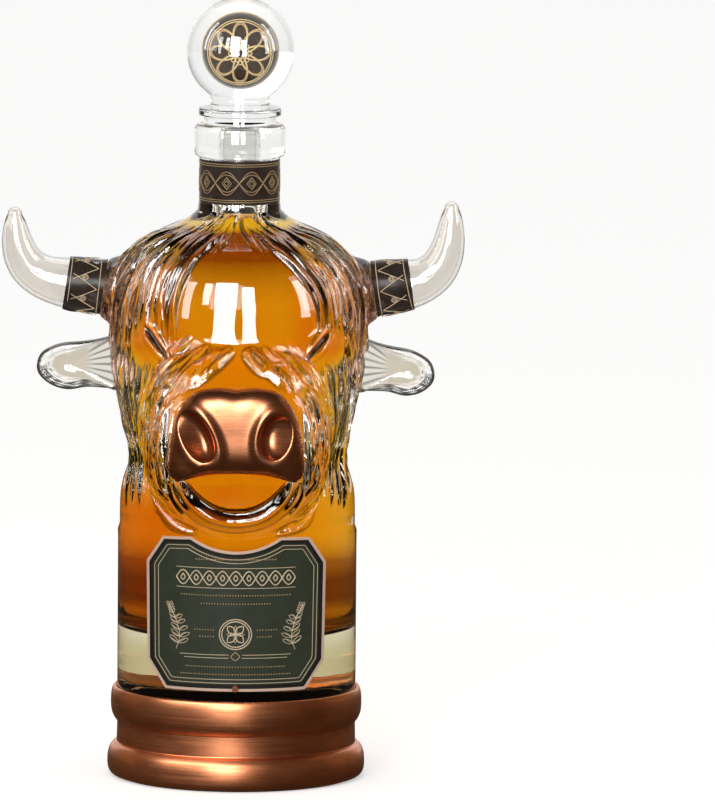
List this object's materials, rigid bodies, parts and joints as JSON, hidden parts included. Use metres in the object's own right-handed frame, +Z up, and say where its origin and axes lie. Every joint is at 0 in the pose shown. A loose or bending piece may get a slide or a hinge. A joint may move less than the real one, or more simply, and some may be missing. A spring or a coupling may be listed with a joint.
{
  "type": "figural liquor decanter",
  "caption": "Glass spirit decanter with a horned long-haired cattle head, copper nose and base, label plate and a lift-out ball stopper.",
  "frame": {"origin": "where the bottle's axis meets the surface it stands on, at the underside of the base's felt pad", "axes": "+Z up along the neck, -Y the way the face looks, +X to the right as seen from the front"},
  "size_m": [0.1762, 0.1199, 0.2984],
  "materials": {
    "clear_glass": "clear fire-polished glass",
    "copper": "warm copper plate, softly brushed",
    "band_print": "satin black-brown print with cream line ornament",
    "label_green": "satin dark green card",
    "label_edge": "pale rose metallic edge",
    "core_print": "gloss dark brown with pale gold lattice",
    "clear_plastic": "clear moulded plastic",
    "felt": "black felt",
    "block_wood": "plain turned wood"
  },
  "bodies": {
    "decanter": {"bottle_glass": "clear_glass", "hair_left": "clear_glass", "hair_right": "clear_glass", "horn_left": "clear_glass", "horn_right": "clear_glass", "horn_band_left": "band_print", "horn_band_right": "band_print", "ear_left": "clear_glass", "ear_right": "clear_glass", "nose_cap": "copper", "neck_band": "band_print", "label_plate": "label_green", "label_rim": "label_edge", "label_pin": "copper", "base_shell": "copper", "base_core": "block_wood", "seat_pad": "felt", "foot_pad": "felt"},
    "stopper": {"stopper_globe": "clear_glass", "stopper_core": "core_print", "stopper_plug": "clear_plastic", "stopper_seal": "clear_plastic"}
  },
  "joints": [
    {"name": "stopper_lift", "type": "slide", "parent": "decanter", "child": "stopper", "axis": [0, 0, 1], "range_m": [0, 0.06]}
  ]
}
